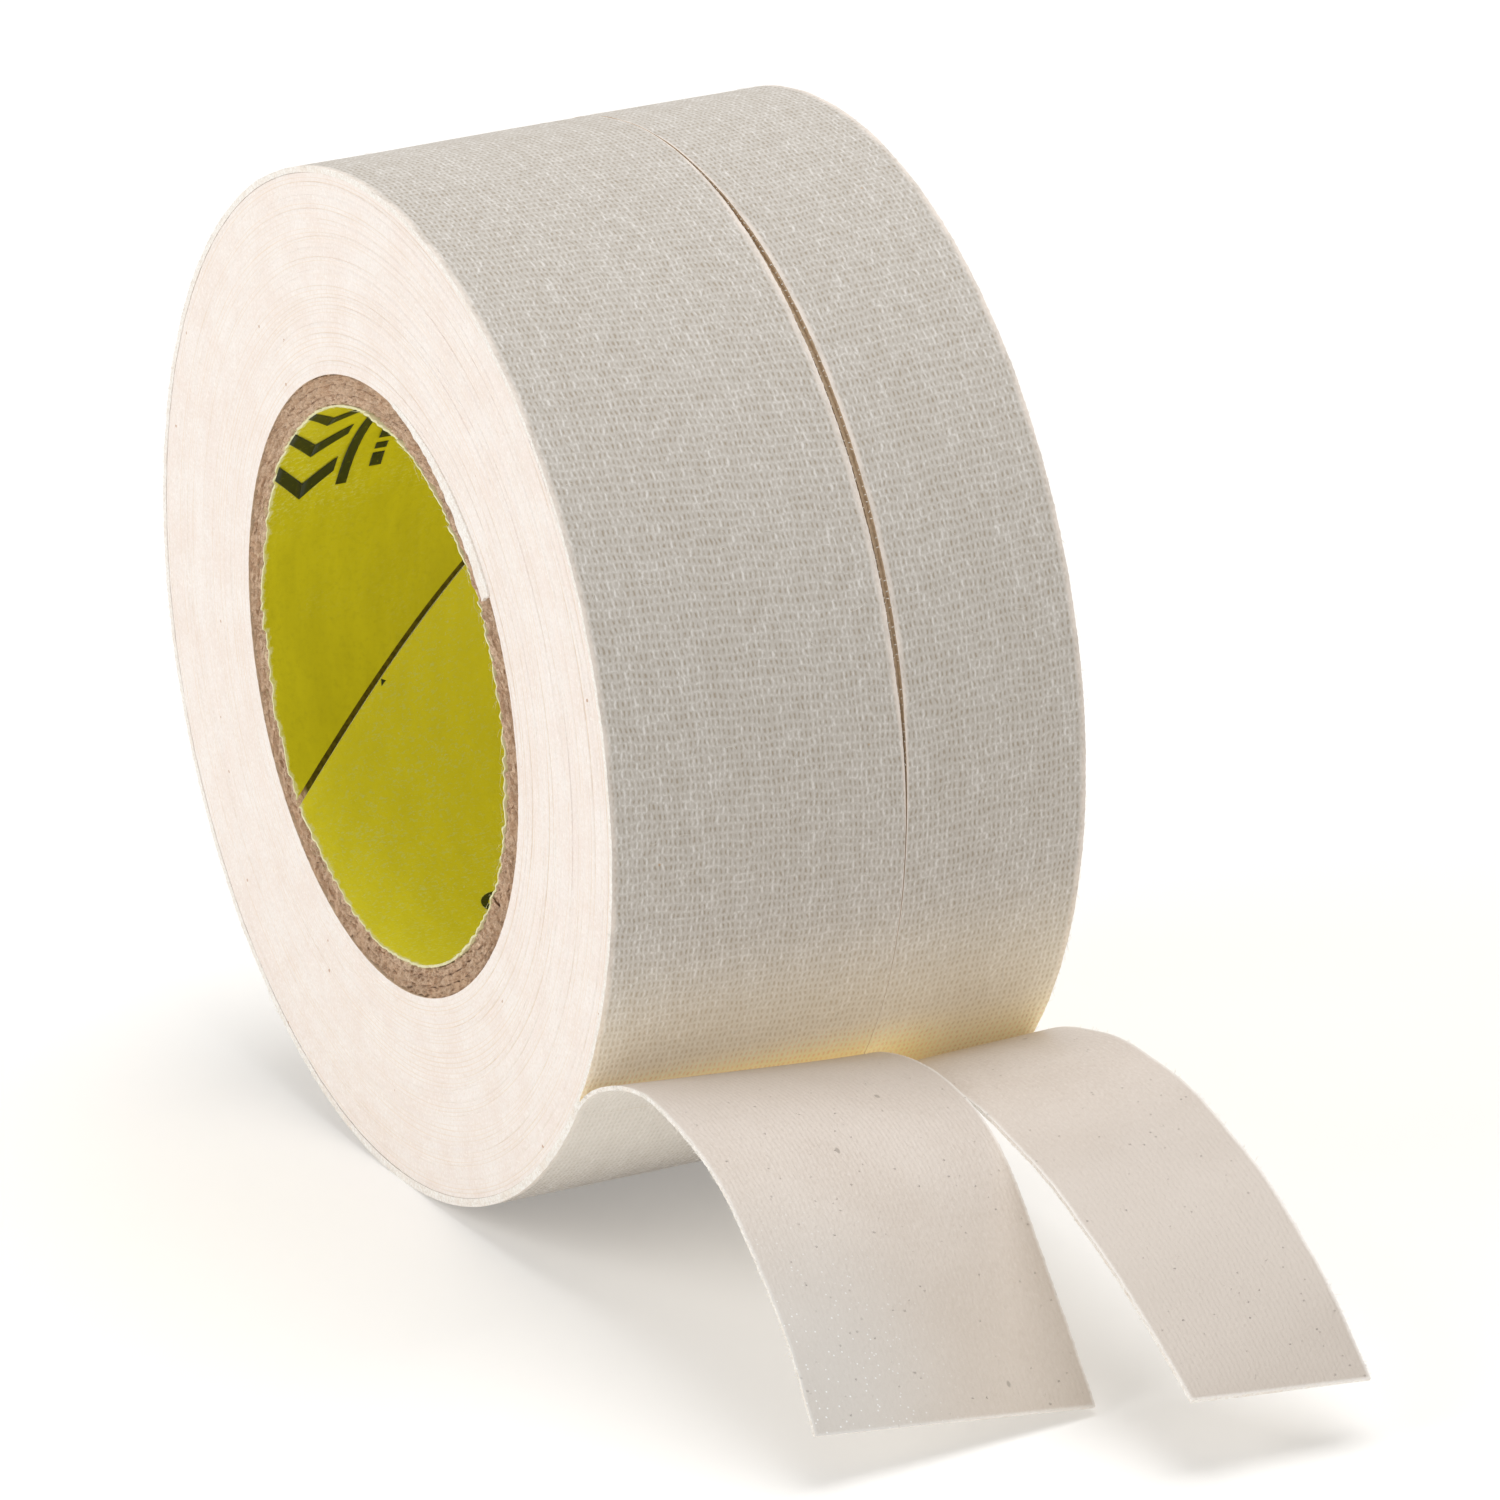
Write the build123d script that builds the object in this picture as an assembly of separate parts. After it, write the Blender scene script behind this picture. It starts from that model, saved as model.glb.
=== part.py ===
from build123d import *

import math
import os

# A slit roll of cloth adhesive tape, in millimetres. The bore's axis is Y, the origin is at
# mid-length of the core, +Z is up, and +X points to the side where the two free tails hang.

# Core: a printed paper liner inside three kraft plies, each a helical strip with a butt seam.
BORE_R = 19.05
LINER_T = 0.17
PLY_T = 0.70
LENGTH = 35.0
SEAM_W = 0.28
LINER_SEAM_W = 0.55
SEAM_LEAD = 128.0

# Tape: woven cotton with a rubber adhesive coat, slit into a wide and a narrow strip.
TAPE_T = 0.30
PEEL_R = 35.65
SLIT_Y = 4.08
SLIT_GAP = 0.30

# Running clearances: between the outermost turn and the wound turns, and at each fold, whose
# slanted edge swings a little as the tail lifts.
TURN_CLEARANCE = 0.10
FOLD_CLEARANCE = 0.30
# The adhesive still bridges the narrow wedge at the peel line over this length.
PEEL_WEB = 1.4

# Seam angle at the near end face (y = -LENGTH / 2), in degrees from +X towards +Z.
LINER_SEAM = 221.6
INNER_SEAM = 330.0
MIDDLE_SEAM = 75.0
OUTER_SEAM = 170.0

# Each edge of a tail is a chain of tangent arcs, (length, turn in degrees). The tape leaves the
# roll tangentially at the peel angle, folds over in the first arc, and then droops outwards.
WIDE_NEAR_EDGE = {"peel": -37.0, "arcs": [(4.5, -27.0), (10.8, -32.5), (11.0, -29.0), (15.4, -24.5)]}
WIDE_SLIT_EDGE = {"peel": -40.4, "arcs": [(4.0, -30.5), (12.9, -26.5), (8.5, -40.0), (15.7, -3.0)]}
NARROW_SLIT_EDGE = {"peel": -44.7, "arcs": [(4.4, -21.9), (17.8, -31.5), (13.4, -13.0), (15.6, -9.3)]}
NARROW_FAR_EDGE = {"peel": -43.7, "arcs": [(4.1, -21.7), (13.5, -23.5), (16.7, -21.9), (17.7, -24.9)]}

Y_NEAR = -LENGTH / 2
Y_FAR = LENGTH / 2
Y_WIDE = SLIT_Y - SLIT_GAP / 2
Y_NARROW = SLIT_Y + SLIT_GAP / 2

CORE_R = BORE_R + LINER_T + 3 * PLY_T
TURN_INNER_R = PEEL_R - 2 * TAPE_T
WOUND_R = TURN_INNER_R - TURN_CLEARANCE
MID_PEEL_R = PEEL_R - TAPE_T / 2


def section_plane(y):
    """The plane across the roll at y, where a sketch's x and y are the roll's X and Z."""
    return Plane(origin=(0, y, 0), x_dir=(1, 0, 0), z_dir=(0, -1, 0))


def tube(inner_r, outer_r, y_low, y_high):
    """A tube about the roll's axis."""
    ring = Circle(outer_r) - Circle(inner_r)
    return extrude(section_plane(y_high) * ring, y_high - y_low)


def polar(radius, degrees):
    """A point of the section, from its radius and its angle from +X towards +Z."""
    return (radius * math.cos(math.radians(degrees)), radius * math.sin(math.radians(degrees)))


def helical_ply(inner_r, outer_r, seam, seam_w):
    """One ply of the core, open along the butt seam where its helical strip meets itself."""
    angle = math.degrees(0.5 * seam_w / inner_r)
    deep = 0.5 * (outer_r - inner_r)
    corners = [
        polar(inner_r - deep, seam - angle),
        polar(outer_r + deep, seam - angle),
        polar(outer_r + deep, seam + angle),
        polar(inner_r - deep, seam + angle),
    ]
    slot = section_plane(Y_NEAR) * make_face(Polyline(*corners, close=True))
    turn = 360.0 * LENGTH / SEAM_LEAD
    cutter = Solid.extrude_linear_with_rotation(
        slot.face(), center=(0, Y_NEAR, 0), normal=(0, LENGTH, 0), angle=turn
    )
    return tube(inner_r, outer_r, Y_NEAR, Y_FAR) - cutter


def walk(edge, side, start=0.0, stop=None):
    """The arcs of a tail's edge from one length to another, each as its start, middle and end,
    moved by side to the left of the direction in which the tape leaves the roll."""
    x, z = polar(MID_PEEL_R, edge["peel"])
    heading = math.radians(edge["peel"] + 90.0)
    gone = 0.0
    found = []
    for length, turn in edge["arcs"]:
        bend = math.radians(turn) / length
        low = max(start, gone)
        high = gone + length if stop is None else min(stop, gone + length)
        if high > low:
            found.append([arc_point(x, z, heading, bend, s - gone, side) for s in
                          (low, (low + high) / 2, high)])
        x, z = arc_point(x, z, heading, bend, length, 0.0)
        heading += math.radians(turn)
        gone += length
    return found


def arc_point(x, z, heading, bend, along, side):
    """The point at a length along an arc, moved by side to the left of the path."""
    new = heading + bend * along
    px = x + (math.sin(new) - math.sin(heading)) / bend
    pz = z - (math.cos(new) - math.cos(heading)) / bend
    return (px - side * math.sin(new), pz + side * math.cos(new))


def fold_point(edge):
    """The point of a tail's edge where it folds, at the end of its first arc."""
    return walk(edge, 0.0, 0.0, edge["arcs"][0][0])[-1][-1]


def spiral_arcs(peel):
    """The outermost turn's outer surface: one turn clockwise from the peel line, one tape
    thickness lower at its end, as eight arcs."""
    web_turn = math.degrees(PEEL_WEB / PEEL_R)
    sweep = 360.0 - web_turn
    count = 8

    def at(share):
        return polar(PEEL_R - TAPE_T * share, peel - sweep * share)

    return [ThreePointArc(at(i / count), at((i + 0.5) / count), at((i + 1) / count))
            for i in range(count)]


def outer_turn_outline(edge, y):
    """The outline of the outermost turn at one edge of the tape, up to its fold."""
    stop = edge["arcs"][0][0] - TAPE_T / 2 - FOLD_CLEARANCE
    below = [ThreePointArc(*points) for points in walk(edge, -TAPE_T / 2, 0.0, stop)]
    above = [ThreePointArc(*points) for points in walk(edge, TAPE_T / 2, PEEL_WEB, stop)]
    spiral = spiral_arcs(edge["peel"])
    edges = below + spiral + above
    edges.append(Line(spiral[-1] @ 1, above[0] @ 0))
    edges.append(Line(above[-1] @ 1, below[-1] @ 1))
    return section_plane(y) * make_face(edges)


def tail_outline(edge, y):
    """The outline of a free tail at one edge of the tape, half-round where it folds."""
    start = edge["arcs"][0][0]
    below = [ThreePointArc(*points) for points in walk(edge, -TAPE_T / 2, start)]
    above = [ThreePointArc(*points) for points in walk(edge, TAPE_T / 2, start)]
    before = walk(edge, 0.0, 0.0, start - TAPE_T / 2)[-1][-1]
    edges = below + above
    edges.append(ThreePointArc(below[0] @ 0, before, above[0] @ 0))
    edges.append(Line(below[-1] @ 1, above[-1] @ 1))
    return section_plane(y) * make_face(edges)


def outer_turn(low_edge, y_low, high_edge, y_high):
    """The outermost turn with the short lip that has lifted off, ruled between its edges."""
    outlines = [outer_turn_outline(low_edge, y_low), outer_turn_outline(high_edge, y_high)]
    turn = loft(outlines, ruled=True)
    past = 1.0
    hollow = extrude(section_plane(y_high + past) * Circle(TURN_INNER_R), y_high - y_low + 2 * past)
    return turn - hollow


def tail(low_edge, y_low, high_edge, y_high):
    """The free tail beyond the fold, ruled between its edges."""
    return loft([tail_outline(low_edge, y_low), tail_outline(high_edge, y_high)], ruled=True)


def core_parts():
    """The liner and the three kraft plies."""
    radii = [BORE_R, BORE_R + LINER_T]
    radii += [radii[-1] + PLY_T * (i + 1) for i in range(3)]
    names = ["core_liner", "core_inner_ply", "core_middle_ply", "core_outer_ply"]
    seams = [LINER_SEAM, INNER_SEAM, MIDDLE_SEAM, OUTER_SEAM]
    widths = [LINER_SEAM_W, SEAM_W, SEAM_W, SEAM_W]
    return {name: helical_ply(radii[i], radii[i + 1], seams[i], widths[i]) for i, name in enumerate(names)}


def tape_parts(name, low_edge, y_low, high_edge, y_high):
    """One slit tape: its wound turns, its outermost turn and its free tail."""
    return {
        f"{name}_tape_wound_turns": tube(CORE_R, WOUND_R, y_low, y_high),
        f"{name}_tape_outer_turn": outer_turn(low_edge, y_low, high_edge, y_high),
        f"{name}_tape_tail": tail(low_edge, y_low, high_edge, y_high),
    }


def print_fold(name, low_edge, y_low, high_edge, y_high):
    """The ends of the fold, near which the joint that bends the tail has its axis."""
    low, high = fold_point(low_edge), fold_point(high_edge)
    print(name, "fold from", (round(low[0], 3), y_low, round(low[1], 3)),
          "to", (round(high[0], 3), y_high, round(high[1], 3)))


WIDE = ("wide", WIDE_NEAR_EDGE, Y_NEAR, WIDE_SLIT_EDGE, Y_WIDE)
NARROW = ("narrow", NARROW_SLIT_EDGE, Y_NARROW, NARROW_FAR_EDGE, Y_FAR)

nodes = core_parts()
nodes.update(tape_parts(*WIDE))
nodes.update(tape_parts(*NARROW))

os.makedirs("parts", exist_ok=True)
for node, shape in nodes.items():
    export_step(shape, os.path.join("parts", node + ".step"))
    low, high = shape.bounding_box().min, shape.bounding_box().max
    print(node, "from", tuple(round(v, 2) for v in low), "to", tuple(round(v, 2) for v in high))
print_fold(*WIDE)
print_fold(*NARROW)
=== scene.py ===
from math import copysign, cos, exp, log, pi, radians, sin, sqrt, tau

import bmesh
import bpy
import numpy as np
from mathutils import Matrix, Vector


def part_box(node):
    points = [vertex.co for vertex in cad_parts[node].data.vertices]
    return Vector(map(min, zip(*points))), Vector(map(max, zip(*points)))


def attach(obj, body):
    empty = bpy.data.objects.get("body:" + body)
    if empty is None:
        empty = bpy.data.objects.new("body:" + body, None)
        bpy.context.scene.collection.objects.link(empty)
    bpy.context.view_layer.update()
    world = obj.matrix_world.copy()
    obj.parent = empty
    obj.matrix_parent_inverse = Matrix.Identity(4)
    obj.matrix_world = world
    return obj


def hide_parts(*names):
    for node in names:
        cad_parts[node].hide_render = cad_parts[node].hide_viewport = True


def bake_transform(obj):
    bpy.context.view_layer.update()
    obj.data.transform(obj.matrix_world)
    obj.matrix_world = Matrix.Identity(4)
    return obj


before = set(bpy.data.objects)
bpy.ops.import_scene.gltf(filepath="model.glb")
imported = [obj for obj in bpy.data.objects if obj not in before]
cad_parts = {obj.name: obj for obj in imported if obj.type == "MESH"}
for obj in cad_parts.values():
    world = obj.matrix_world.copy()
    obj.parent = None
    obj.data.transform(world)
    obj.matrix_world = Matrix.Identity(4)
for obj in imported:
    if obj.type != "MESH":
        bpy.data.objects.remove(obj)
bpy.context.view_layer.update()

# A slit roll of cloth adhesive tape. The bore's axis is Y, the wide tape is at the near end
# (low y), and both free tails hang towards +X. Lengths are in metres.
MM = 0.001


def radius_of(node):
    """A round node's outer radius."""
    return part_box(node)[1].x


LINER_T = 0.17 * MM
PEEL_WEB = 1.4 * MM
TAPE_T = 0.30 * MM
TURN_CLEARANCE = 0.10 * MM
CORE_RADII = [radius_of(n) for n in ("core_liner", "core_inner_ply", "core_middle_ply", "core_outer_ply")]
BORE_R = CORE_RADII[0] - LINER_T
CORE_R = CORE_RADII[-1]
WOUND_R = radius_of("wide_tape_wound_turns")
TURN_INNER_R = WOUND_R + TURN_CLEARANCE
WINDING_R = TURN_INNER_R - 0.015 * MM
PEEL_R = TURN_INNER_R + 2 * TAPE_T
MID_PEEL_R = PEEL_R - TAPE_T / 2
Y_NEAR, Y_WIDE = [corner.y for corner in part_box("wide_tape_wound_turns")]
Y_NARROW, Y_FAR = [corner.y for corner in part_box("narrow_tape_wound_turns")]
Y_SLIT = (Y_WIDE + Y_NARROW) / 2
FLOOR_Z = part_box("wide_tape_outer_turn")[0].z

# The edges of the tails, as in the CAD model: the peel angle in degrees from +X towards +Z,
# then tangent arcs of (length in millimetres, turn in degrees).
WIDE_NEAR_EDGE = (-37.0, [(4.5, -27.0), (10.8, -32.5), (11.0, -29.0), (15.4, -24.5)])
WIDE_SLIT_EDGE = (-40.4, [(4.0, -30.5), (12.9, -26.5), (8.5, -40.0), (15.7, -3.0)])
NARROW_SLIT_EDGE = (-44.7, [(4.4, -21.9), (17.8, -31.5), (13.4, -13.0), (15.6, -9.3)])
NARROW_FAR_EDGE = (-43.7, [(4.1, -21.7), (13.5, -23.5), (16.7, -21.9), (17.7, -24.9)])

# The cloth: the pitch of the threads that run along the tape (warp) and across it (weft).
WARP_PITCH = 0.367 * MM
WEFT_PITCH = 0.60 * MM

# How many wound turns are drawn.
TURNS = 45

# Each tape's name, its two edges and their y, the lower first.
WIDE = ("wide", WIDE_NEAR_EDGE, WIDE_SLIT_EDGE, Y_NEAR, Y_WIDE)
NARROW = ("narrow", NARROW_SLIT_EDGE, NARROW_FAR_EDGE, Y_NARROW, Y_FAR)

# The core's butt seams: angles at the near end in degrees, lead per turn, and widths.
LINER_SEAM = 221.6
PLY_SEAMS = {"core_inner_ply": 330.0, "core_middle_ply": 75.0, "core_outer_ply": 170.0}
SEAM_LEAD = 128.0 * MM
SEAM_W = 0.28 * MM
LINER_SEAM_W = 0.55 * MM


# ---- shapes

def ripple(seed, waves, low, high, along):
    """A smooth random curve of unit size over an angle: sines of whole numbers of waves."""
    rng = np.random.default_rng(seed)
    total = np.zeros_like(along, dtype=float)
    for _ in range(waves):
        total += np.cos(rng.integers(low, high + 1) * along + rng.uniform(0, tau))
    return total / sqrt(waves / 2)


def drift(seed, waves, shortest, longest, along):
    """A smooth random curve of unit size over a length: sines of random wavelengths."""
    rng = np.random.default_rng(seed)
    total = np.zeros_like(along, dtype=float)
    for _ in range(waves):
        wave = exp(rng.uniform(log(shortest), log(longest)))
        total += np.cos(tau * along / wave + rng.uniform(0, tau))
    return total / sqrt(waves / 2)


def vectors(x, y, z):
    """An array of vectors from their parts, each a whole array, a row, a column or a number."""
    return np.stack(np.broadcast_arrays(x, y, z), axis=-1)


def around_roll(angle, y, radius):
    """Points on the roll from their angles, y and radii."""
    return vectors(radius * np.cos(angle), y, radius * np.sin(angle))


def add_object(name, data):
    """A new object in the scene."""
    obj = bpy.data.objects.new(name, data)
    bpy.context.scene.collection.objects.link(obj)
    return obj


def new_object(name, points, faces, materials, slots=None):
    """A smooth mesh object from arrays of points and faces, one material index per face."""
    mesh = bpy.data.meshes.new(name)
    mesh.from_pydata(np.asarray(points).reshape(-1, 3).tolist(), [], [list(f) for f in faces])
    for material in materials:
        mesh.materials.append(material)
    if slots is not None:
        mesh.polygons.foreach_set("material_index", np.asarray(slots, dtype=np.int32))
    mesh.polygons.foreach_set("use_smooth", [True] * len(mesh.polygons))
    turned = bmesh.new()
    turned.from_mesh(mesh)
    bmesh.ops.recalc_face_normals(turned, faces=turned.faces)
    turned.to_mesh(mesh)
    turned.free()
    mesh.set_sharp_from_angle(angle=radians(50))
    return add_object(name, mesh)


def loft(name, grid, materials, column_slots, closed, facts, rim=0):
    """A closed body from rings of points, grid[row, column]. Each row is a closed outline: one
    side, a rim of some points, the other side back, and a rim. The rows close on themselves,
    or end in caps that join the two sides. The facts are a vector of each point, for its
    material to read."""
    rows, columns = grid.shape[:2]
    index = np.arange(rows * columns).reshape(rows, columns)
    near = index if closed else index[:-1]
    far = np.roll(index, -1, axis=0) if closed else index[1:]
    quads = np.stack([near, np.roll(near, -1, axis=1), np.roll(far, -1, axis=1), far], axis=-1)
    faces = quads.reshape(-1, 4).tolist()
    slots = np.tile(column_slots, len(near)).tolist()
    if not closed:
        half = columns // 2 - rim
        back = columns - rim - 1
        for row in (index[0], index[-1]):
            caps = [[row[c], row[c + 1], row[back - 1 - c], row[back - c]] for c in range(half - 1)]
            if rim:
                caps.append(list(row[half - 1:half + rim + 1]))
                caps.append(list(row[back:]) + [row[0]])
            faces += caps
            slots += [column_slots[half - 1]] * len(caps)
    obj = new_object(name, grid, faces, materials, slots)
    lay = obj.data.attributes.new("lay", "FLOAT_VECTOR", "POINT")
    lay.data.foreach_set("vector", np.asarray(facts, dtype=np.float32).ravel())
    return obj


# ---- materials

def colour(red, green, blue):
    """A colour from its display values, 0 to 255."""
    def linear(v):
        v = v / 255
        return v / 12.92 if v <= 0.04045 else ((v + 0.055) / 1.055) ** 2.4
    return (linear(red), linear(green), linear(blue), 1.0)


class Look:
    """A material under construction, with a short call for each kind of node."""

    def __init__(self, name, roughness, specular=0.25, sheen=0.0):
        self.material = bpy.data.materials.new(name)
        self.material.use_nodes = True
        self.nodes = self.material.node_tree.nodes
        self.links = self.material.node_tree.links
        self.surface = self.nodes["Principled BSDF"]
        self.set("Roughness", roughness)
        self.set("Specular IOR Level", specular)
        self.set("Sheen Weight", sheen)

    def put(self, value, socket):
        if isinstance(value, bpy.types.NodeSocket):
            self.links.new(value, socket)
        else:
            socket.default_value = value

    def set(self, name, value):
        self.put(value, self.surface.inputs[name])

    def node(self, kind, **inputs):
        """A new node with its inputs set by name."""
        node = self.nodes.new("ShaderNode" + kind)
        for name, value in inputs.items():
            self.put(value, node.inputs[name])
        return node

    def math(self, operation, *values):
        node = self.node("Math")
        node.operation = operation
        for value, socket in zip(values, node.inputs):
            self.put(value, socket)
        return node.outputs[0]

    def times(self, a, b):
        return self.math("MULTIPLY", a, b)

    def plus(self, a, b):
        return self.math("ADD", a, b)

    def vector(self, x, y, z):
        return self.node("CombineXYZ", X=x, Y=y, Z=z).outputs[0]

    def parts(self, vector):
        return self.node("SeparateXYZ", Vector=vector).outputs[:3]

    def lay(self):
        """The mesh's own coordinates, which loft() stores."""
        node = self.node("Attribute")
        node.attribute_name = "lay"
        return self.parts(node.outputs["Vector"])

    def place(self):
        """The point's place in the roll."""
        return self.node("TexCoord").outputs["Object"]

    def noise(self, vector, size, detail=2.0, roughness=0.5, distortion=0.0):
        """Soft noise about 0.5, with features of a given size in metres."""
        node = self.node("TexNoise", Vector=vector, Scale=1 / size, Detail=detail,
                         Roughness=roughness, Distortion=distortion)
        return node.outputs[0]

    def swing(self, vector, size, detail):
        """Soft noise about 0."""
        return self.plus(self.noise(vector, size, detail=detail), -0.5)

    def chance(self, value):
        """A random number from 0 to 1 for each whole value."""
        node = self.node("TexWhiteNoise")
        node.noise_dimensions = "1D"
        self.put(value, node.inputs["W"])
        return node.outputs["Value"]

    def cells(self, vector, size):
        """The distance to the nearest of scattered points, in cells of a given size."""
        return self.node("TexVoronoi", Vector=vector, Scale=1 / size).outputs["Distance"]

    def ramp(self, value, low, high, to_low=0.0, to_high=1.0):
        """A value that passes from low to high, as one that passes smoothly from 0 to 1."""
        ends = {"From Min": low, "From Max": high, "To Min": to_low, "To Max": to_high}
        node = self.node("MapRange", Value=value, **ends)
        node.interpolation_type = "SMOOTHSTEP"
        return node.outputs[0]

    def mix(self, share, a, b):
        """Two colours mixed; a Mix node's colour sockets come after its number and vector ones."""
        node = self.node("Mix")
        node.data_type = "RGBA"
        self.put(share, node.inputs[0])
        self.put(a, node.inputs[6])
        self.put(b, node.inputs[7])
        return node.outputs[2]

    def over(self, base, shade, share, strength=None):
        """A base with a colour laid over it, given by its display values."""
        if strength is not None:
            share = self.times(share, strength)
        return self.mix(share, base, colour(*shade))

    def bump(self, height, depth, under=None):
        """The normal of a relief, in which a height of 1 stands for a depth in metres."""
        node = self.node("Bump", Height=height, Distance=depth)
        if under is not None:
            self.put(under, node.inputs["Normal"])
        return node.outputs[0]

    def finish(self, base, normal=None, roughness=None):
        self.set("Base Color", base)
        if normal is not None:
            self.set("Normal", normal)
        if roughness is not None:
            self.set("Roughness", roughness)
        return self.material


def weave(look, along, across):
    """Plain weave. Returns where its threads float, from 0 to 1, where it is open between
    them, and how high it stands. Every crossing is a little different."""
    here = look.vector(along, across, 0.0)
    wander = look.swing(here, 2.2 * MM, 3.0)
    sway = look.swing(look.vector(across, along, 0.0), 1.6 * MM, 3.0)
    u = look.math("DIVIDE", look.plus(across, look.times(sway, 0.55 * MM)), WARP_PITCH)
    v = look.math("DIVIDE", look.plus(along, look.times(wander, 0.9 * MM)), WEFT_PITCH)
    warp, weft = look.math("FLOOR", u), look.math("FLOOR", v)
    over = look.math("PINGPONG", look.plus(warp, weft), 1.0)
    crossing = look.chance(look.plus(look.times(warp, 17.31), look.times(weft, 5.77)))
    thread = look.chance(warp)
    off_u, off_v = [look.math("ABSOLUTE", look.plus(look.times(look.math("FRACT", w), 2.0), -1.0))
                    for w in (u, v)]
    core = look.ramp(off_u, 0.05, 0.80, 1.0, 0.0)
    long = look.ramp(off_v, 0.40, 1.20, 1.0, 0.0)
    top = look.plus(look.times(look.times(over, long), 0.48), look.plus(0.28, look.times(thread, 0.35)))
    floats = look.times(look.times(core, top), look.plus(0.45, look.times(crossing, 0.75)))
    opened = look.times(look.ramp(off_u, 0.30, 0.95), look.ramp(off_v, 0.25, 0.85, 1.0, 0.0))
    hole = look.times(opened, look.ramp(crossing, 0.0, 1.0, 1.2, 0.5))
    cross = look.times(look.ramp(off_v, 0.45, 0.95), look.plus(0.22, look.times(crossing, 0.45)))
    floats = look.math("MAXIMUM", floats, cross)
    height = look.plus(look.times(core, look.plus(0.35, look.times(over, 0.5))), look.times(hole, -0.35))
    return floats, hole, height


def cloth_look(name):
    """Unbleached plain-woven cotton, matte and fuzzy, with darker gaps between its threads. Light
    that soaks through the adhesive comes out warm in the crease beside the fold, which a tint
    and a weak glow stand for."""
    gap, thread, top = colour(172, 160, 144), colour(201, 195, 187), colour(231, 227, 222)
    crease_angle = radians(-41)
    look = Look(name, roughness=0.95, specular=0.10, sheen=0.12)
    along, across, edge = look.lay()
    here = look.vector(along, across, 0.0)
    floats, hole, height = weave(look, along, across)
    drawn = look.times(along, 0.6)
    fuzz = look.swing(look.vector(drawn, across, 0.0), 0.16 * MM, 2.0)
    patch = look.swing(look.vector(drawn, across, 0.3), 1.2 * MM, 3.0)
    slub = look.ramp(look.noise(look.vector(look.times(along, 0.16), across, 0.7), 0.42 * MM), 0.62, 0.80)
    tone = look.plus(0.38, look.plus(look.times(fuzz, 1.10), look.times(patch, 0.50)))
    tone = look.plus(tone, look.plus(look.times(floats, 0.52), look.times(slub, 0.22)))
    tone = look.plus(tone, look.times(hole, -0.40))
    base = look.mix(look.ramp(tone, -0.25, 0.50), gap, thread)
    base = look.mix(look.ramp(tone, 0.45, 1.15), base, top)
    fleck = look.ramp(look.cells(here, 6.0 * MM), 0.012, 0.022, 1.0, 0.0)
    base = look.over(base, (190, 150, 100), fleck, 0.6)
    rim = look.ramp(edge, 0.10 * MM, 0.55 * MM, 1.0, 0.0)
    rim = look.times(rim, look.ramp(patch, -0.2, 0.1, 0.5, 1.0))
    base = look.over(base, (244, 233, 223), rim, 0.8)
    # The crease: how far above the fold, on the stretch that comes down to it from the top.
    turn_end = -tau * PEEL_R
    x, y, z = look.parts(look.place())
    above = look.times(look.plus(look.math("ARCTAN2", z, x), -crease_angle), PEEL_R)
    last = look.ramp(along, 0.5 * turn_end, 0.6 * turn_end)
    crease = look.times(last, look.ramp(above, 0.0, 19.0 * MM, 1.0, 0.0))
    base = look.over(base, (255, 238, 204), crease, 0.70)
    deep = look.times(last, look.ramp(above, 1.0 * MM, 7.0 * MM, 1.0, 0.0))
    deep = look.times(deep, look.ramp(y, 5.0 * MM, 12.0 * MM, 1.0, 0.45))
    base = look.over(base, (255, 228, 148), deep, 0.65)
    base = look.over(base, (172, 140, 92), look.times(look.times(hole, crease), 0.28))
    # Painted light: the first stretch, which lies under the fold, and the tail's cloth side beyond it are
    # paled to lighten the fold's shade.
    fold = look.ramp(along, -16.0 * MM, -2.0 * MM)
    base = look.over(base, (248, 242, 233), fold, 0.68)
    glow = look.ramp(above, 0.0, 24.0 * MM, 0.21, 0.0)
    glow = look.times(last, look.plus(glow, look.ramp(above, 2.0 * MM, 8.0 * MM, 0.13, 0.0)))
    glow = look.times(glow, look.ramp(y, 2.0 * MM, 12.0 * MM, 1.0, 0.50))
    warm = look.over(base, (255, 226, 136), deep, 0.35)
    look.set("Emission Color", warm)
    look.set("Emission Strength", glow)
    relief = look.plus(height, look.plus(look.times(floats, 0.5), look.times(fuzz, 0.8)))
    return look.finish(base, look.bump(relief, 0.025 * MM))


def edge_look(name):
    """The cut edges of the wound tape: cloth and adhesive in thin layers, nearly white."""
    look = Look(name, roughness=0.85, specular=0.15)
    _, turn, _ = look.lay()
    layer = look.math("FLOOR", turn)
    across = look.math("FRACT", turn)
    here = look.place()
    own = look.chance(layer)
    px, _, pz = look.parts(here)
    slow = look.noise(look.vector(px, look.times(layer, 7.0 * MM), pz), 6.0 * MM)
    seam = look.ramp(look.math("ABSOLUTE", look.plus(across, -0.5)), 0.30, 0.5)
    shown = look.times(seam, look.ramp(look.plus(look.times(own, 0.7), slow), 0.65, 1.2))
    fibre = look.noise(here, 0.22 * MM, detail=3.0, roughness=0.7)
    cloud = look.noise(here, 3.5 * MM, detail=3.0)
    white = look.mix(look.ramp(cloud, 0.3, 0.7), colour(242, 231, 224), colour(245, 238, 233))
    white = look.over(white, (235, 221, 208), look.ramp(fibre, 0.48, 0.68, 0.0, 0.50))
    white = look.over(white, (254, 248, 242), look.ramp(fibre, 0.32, 0.46, 0.6, 0.0))
    base = look.over(white, (235, 217, 197), shown, 0.85)
    speck = look.ramp(look.cells(here, 3.2 * MM), 0.030, 0.045, 1.0, 0.0)
    base = look.over(base, (190, 150, 120), speck, 0.75)
    height = look.plus(look.times(seam, -0.15), look.times(fibre, 1.1))
    return look.finish(base, look.bump(height, 0.03 * MM))


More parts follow.
